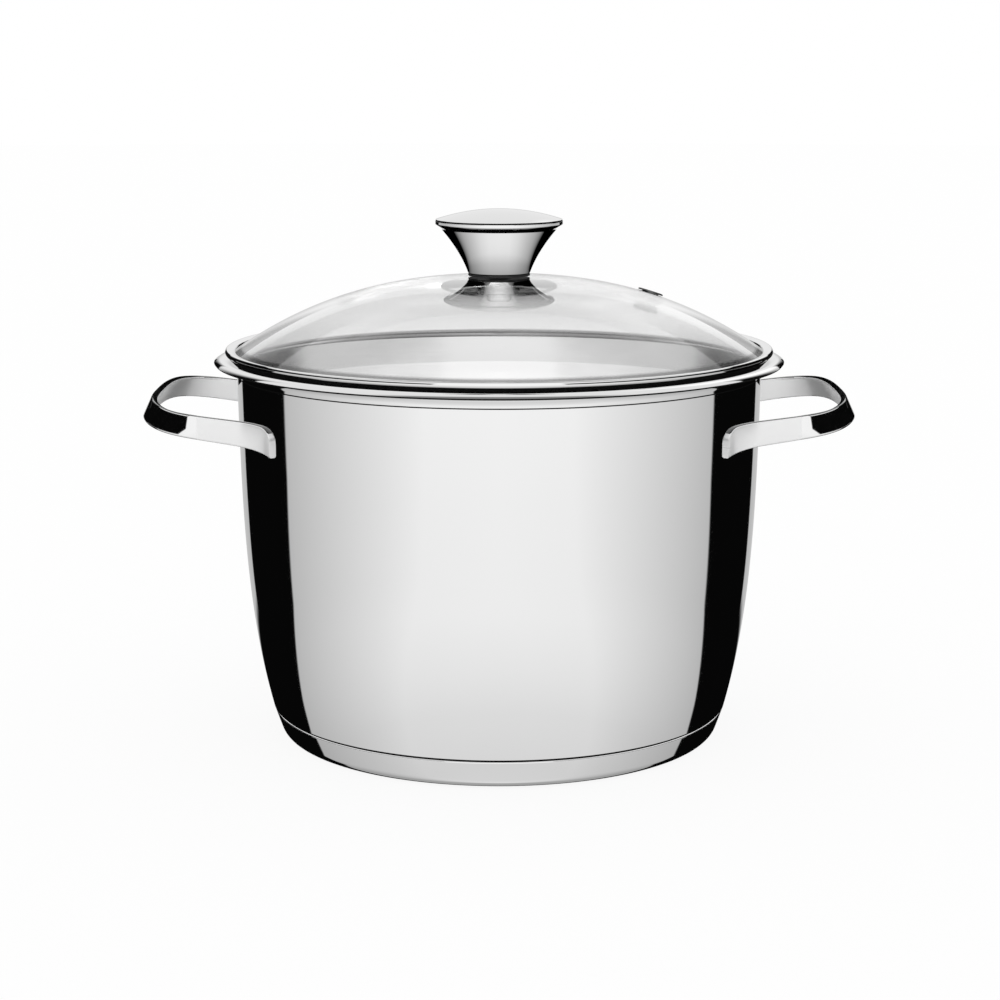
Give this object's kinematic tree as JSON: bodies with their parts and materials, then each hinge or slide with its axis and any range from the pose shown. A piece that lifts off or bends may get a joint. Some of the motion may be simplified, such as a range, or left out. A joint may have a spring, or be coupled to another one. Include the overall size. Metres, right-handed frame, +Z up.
{
  "type": "stock pot",
  "caption": "Polished steel stock pot with a rolled rim, sandwich base, welded strap handles and a domed glass lid that lifts off by a flared steel knob.",
  "frame": {"origin": "centre of the flat underside of the base", "axes": "+Z up along the pot's axis, +X through the handles, +Y away from the picture's viewer"},
  "size_m": [0.2692, 0.2176, 0.2027],
  "materials": {
    "polished_steel": "mirror polished stainless steel",
    "satin_steel": "satin stainless steel",
    "core_aluminium": "rolled aluminium, enclosed",
    "lid_glass": "clear tempered glass",
    "black_silicone": "matt black silicone"
  },
  "bodies": {
    "pot": {"pot_body": "polished_steel", "base_core": "core_aluminium", "base_cap": "polished_steel", "handle_left": "polished_steel", "handle_right": "polished_steel"},
    "lid": {"lid_glass": "lid_glass", "lid_band": "polished_steel", "vent_eyelet": "polished_steel", "vent_gasket": "black_silicone", "knob_cone": "polished_steel", "knob_cap": "polished_steel", "knob_gasket": "black_silicone", "knob_nut": "satin_steel", "knob_screw": "satin_steel", "knob_washer": "satin_steel", "screw_bush": "black_silicone"}
  },
  "joints": [
    {"name": "lid_lift", "type": "slide", "parent": "pot", "child": "lid", "axis": [0, 0, 1], "range_m": [0, 0.25]}
  ]
}
